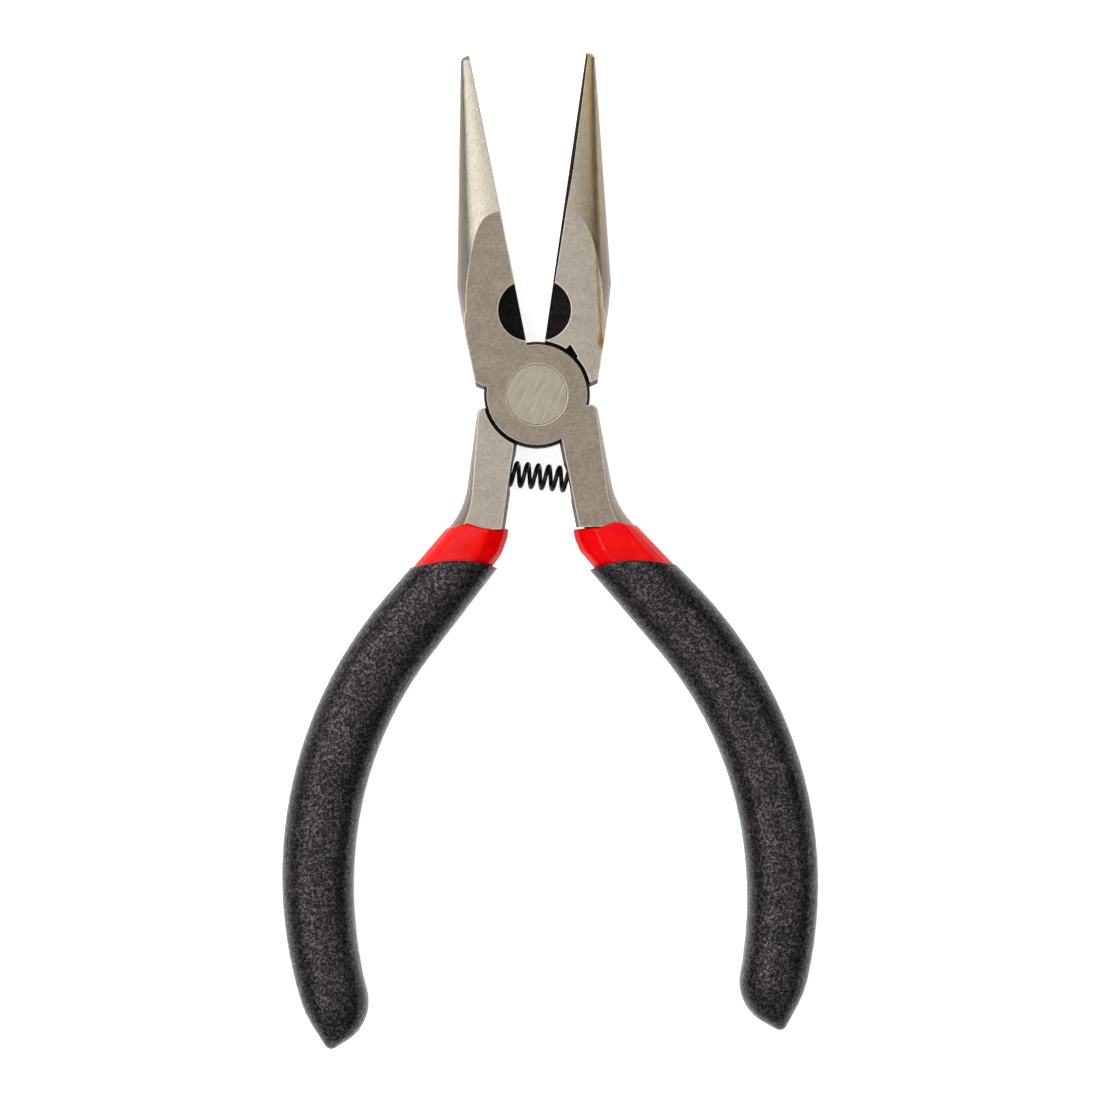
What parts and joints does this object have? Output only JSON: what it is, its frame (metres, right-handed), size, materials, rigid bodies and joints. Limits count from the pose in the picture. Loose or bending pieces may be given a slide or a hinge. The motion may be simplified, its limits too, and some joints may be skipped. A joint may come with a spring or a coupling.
{
  "type": "pliers",
  "caption": "Small long-nose hand pliers with side cutters, a sprung pivot and soft two-layer handle grips.",
  "frame": {"origin": "where the pivot axis meets the back face of the joint, at the centre of the rivet's flush back head", "axes": "+Z along the pivot axis out of the front face, +Y towards the jaw tips, +X to the right seen from the front"},
  "size_m": [0.067, 0.1236, 0.0098],
  "materials": {
    "steel": "satin ground, black oxide in the hollows",
    "rivet_steel": "ground flush",
    "spring_steel": "blackened wire",
    "red_sleeve": "gloss",
    "black_grip": "fine matt grain"
  },
  "bodies": {
    "back_half": {"back_half": "steel", "pivot_rivet": "rivet_steel", "back_sleeve": "red_sleeve", "back_grip": "black_grip", "return_spring": "spring_steel"},
    "front_half": {"front_half": "steel", "front_sleeve": "red_sleeve", "front_grip": "black_grip"}
  },
  "joints": [
    {"name": "jaw_pivot", "type": "hinge", "parent": "back_half", "child": "front_half", "pos_m": [0, 0, 0.004], "axis": [0, 0, 1], "range_deg": [-19.4, 18], "stiffness_Nm_per_rad": 0.8, "deforming": ["return_spring"]}
  ]
}
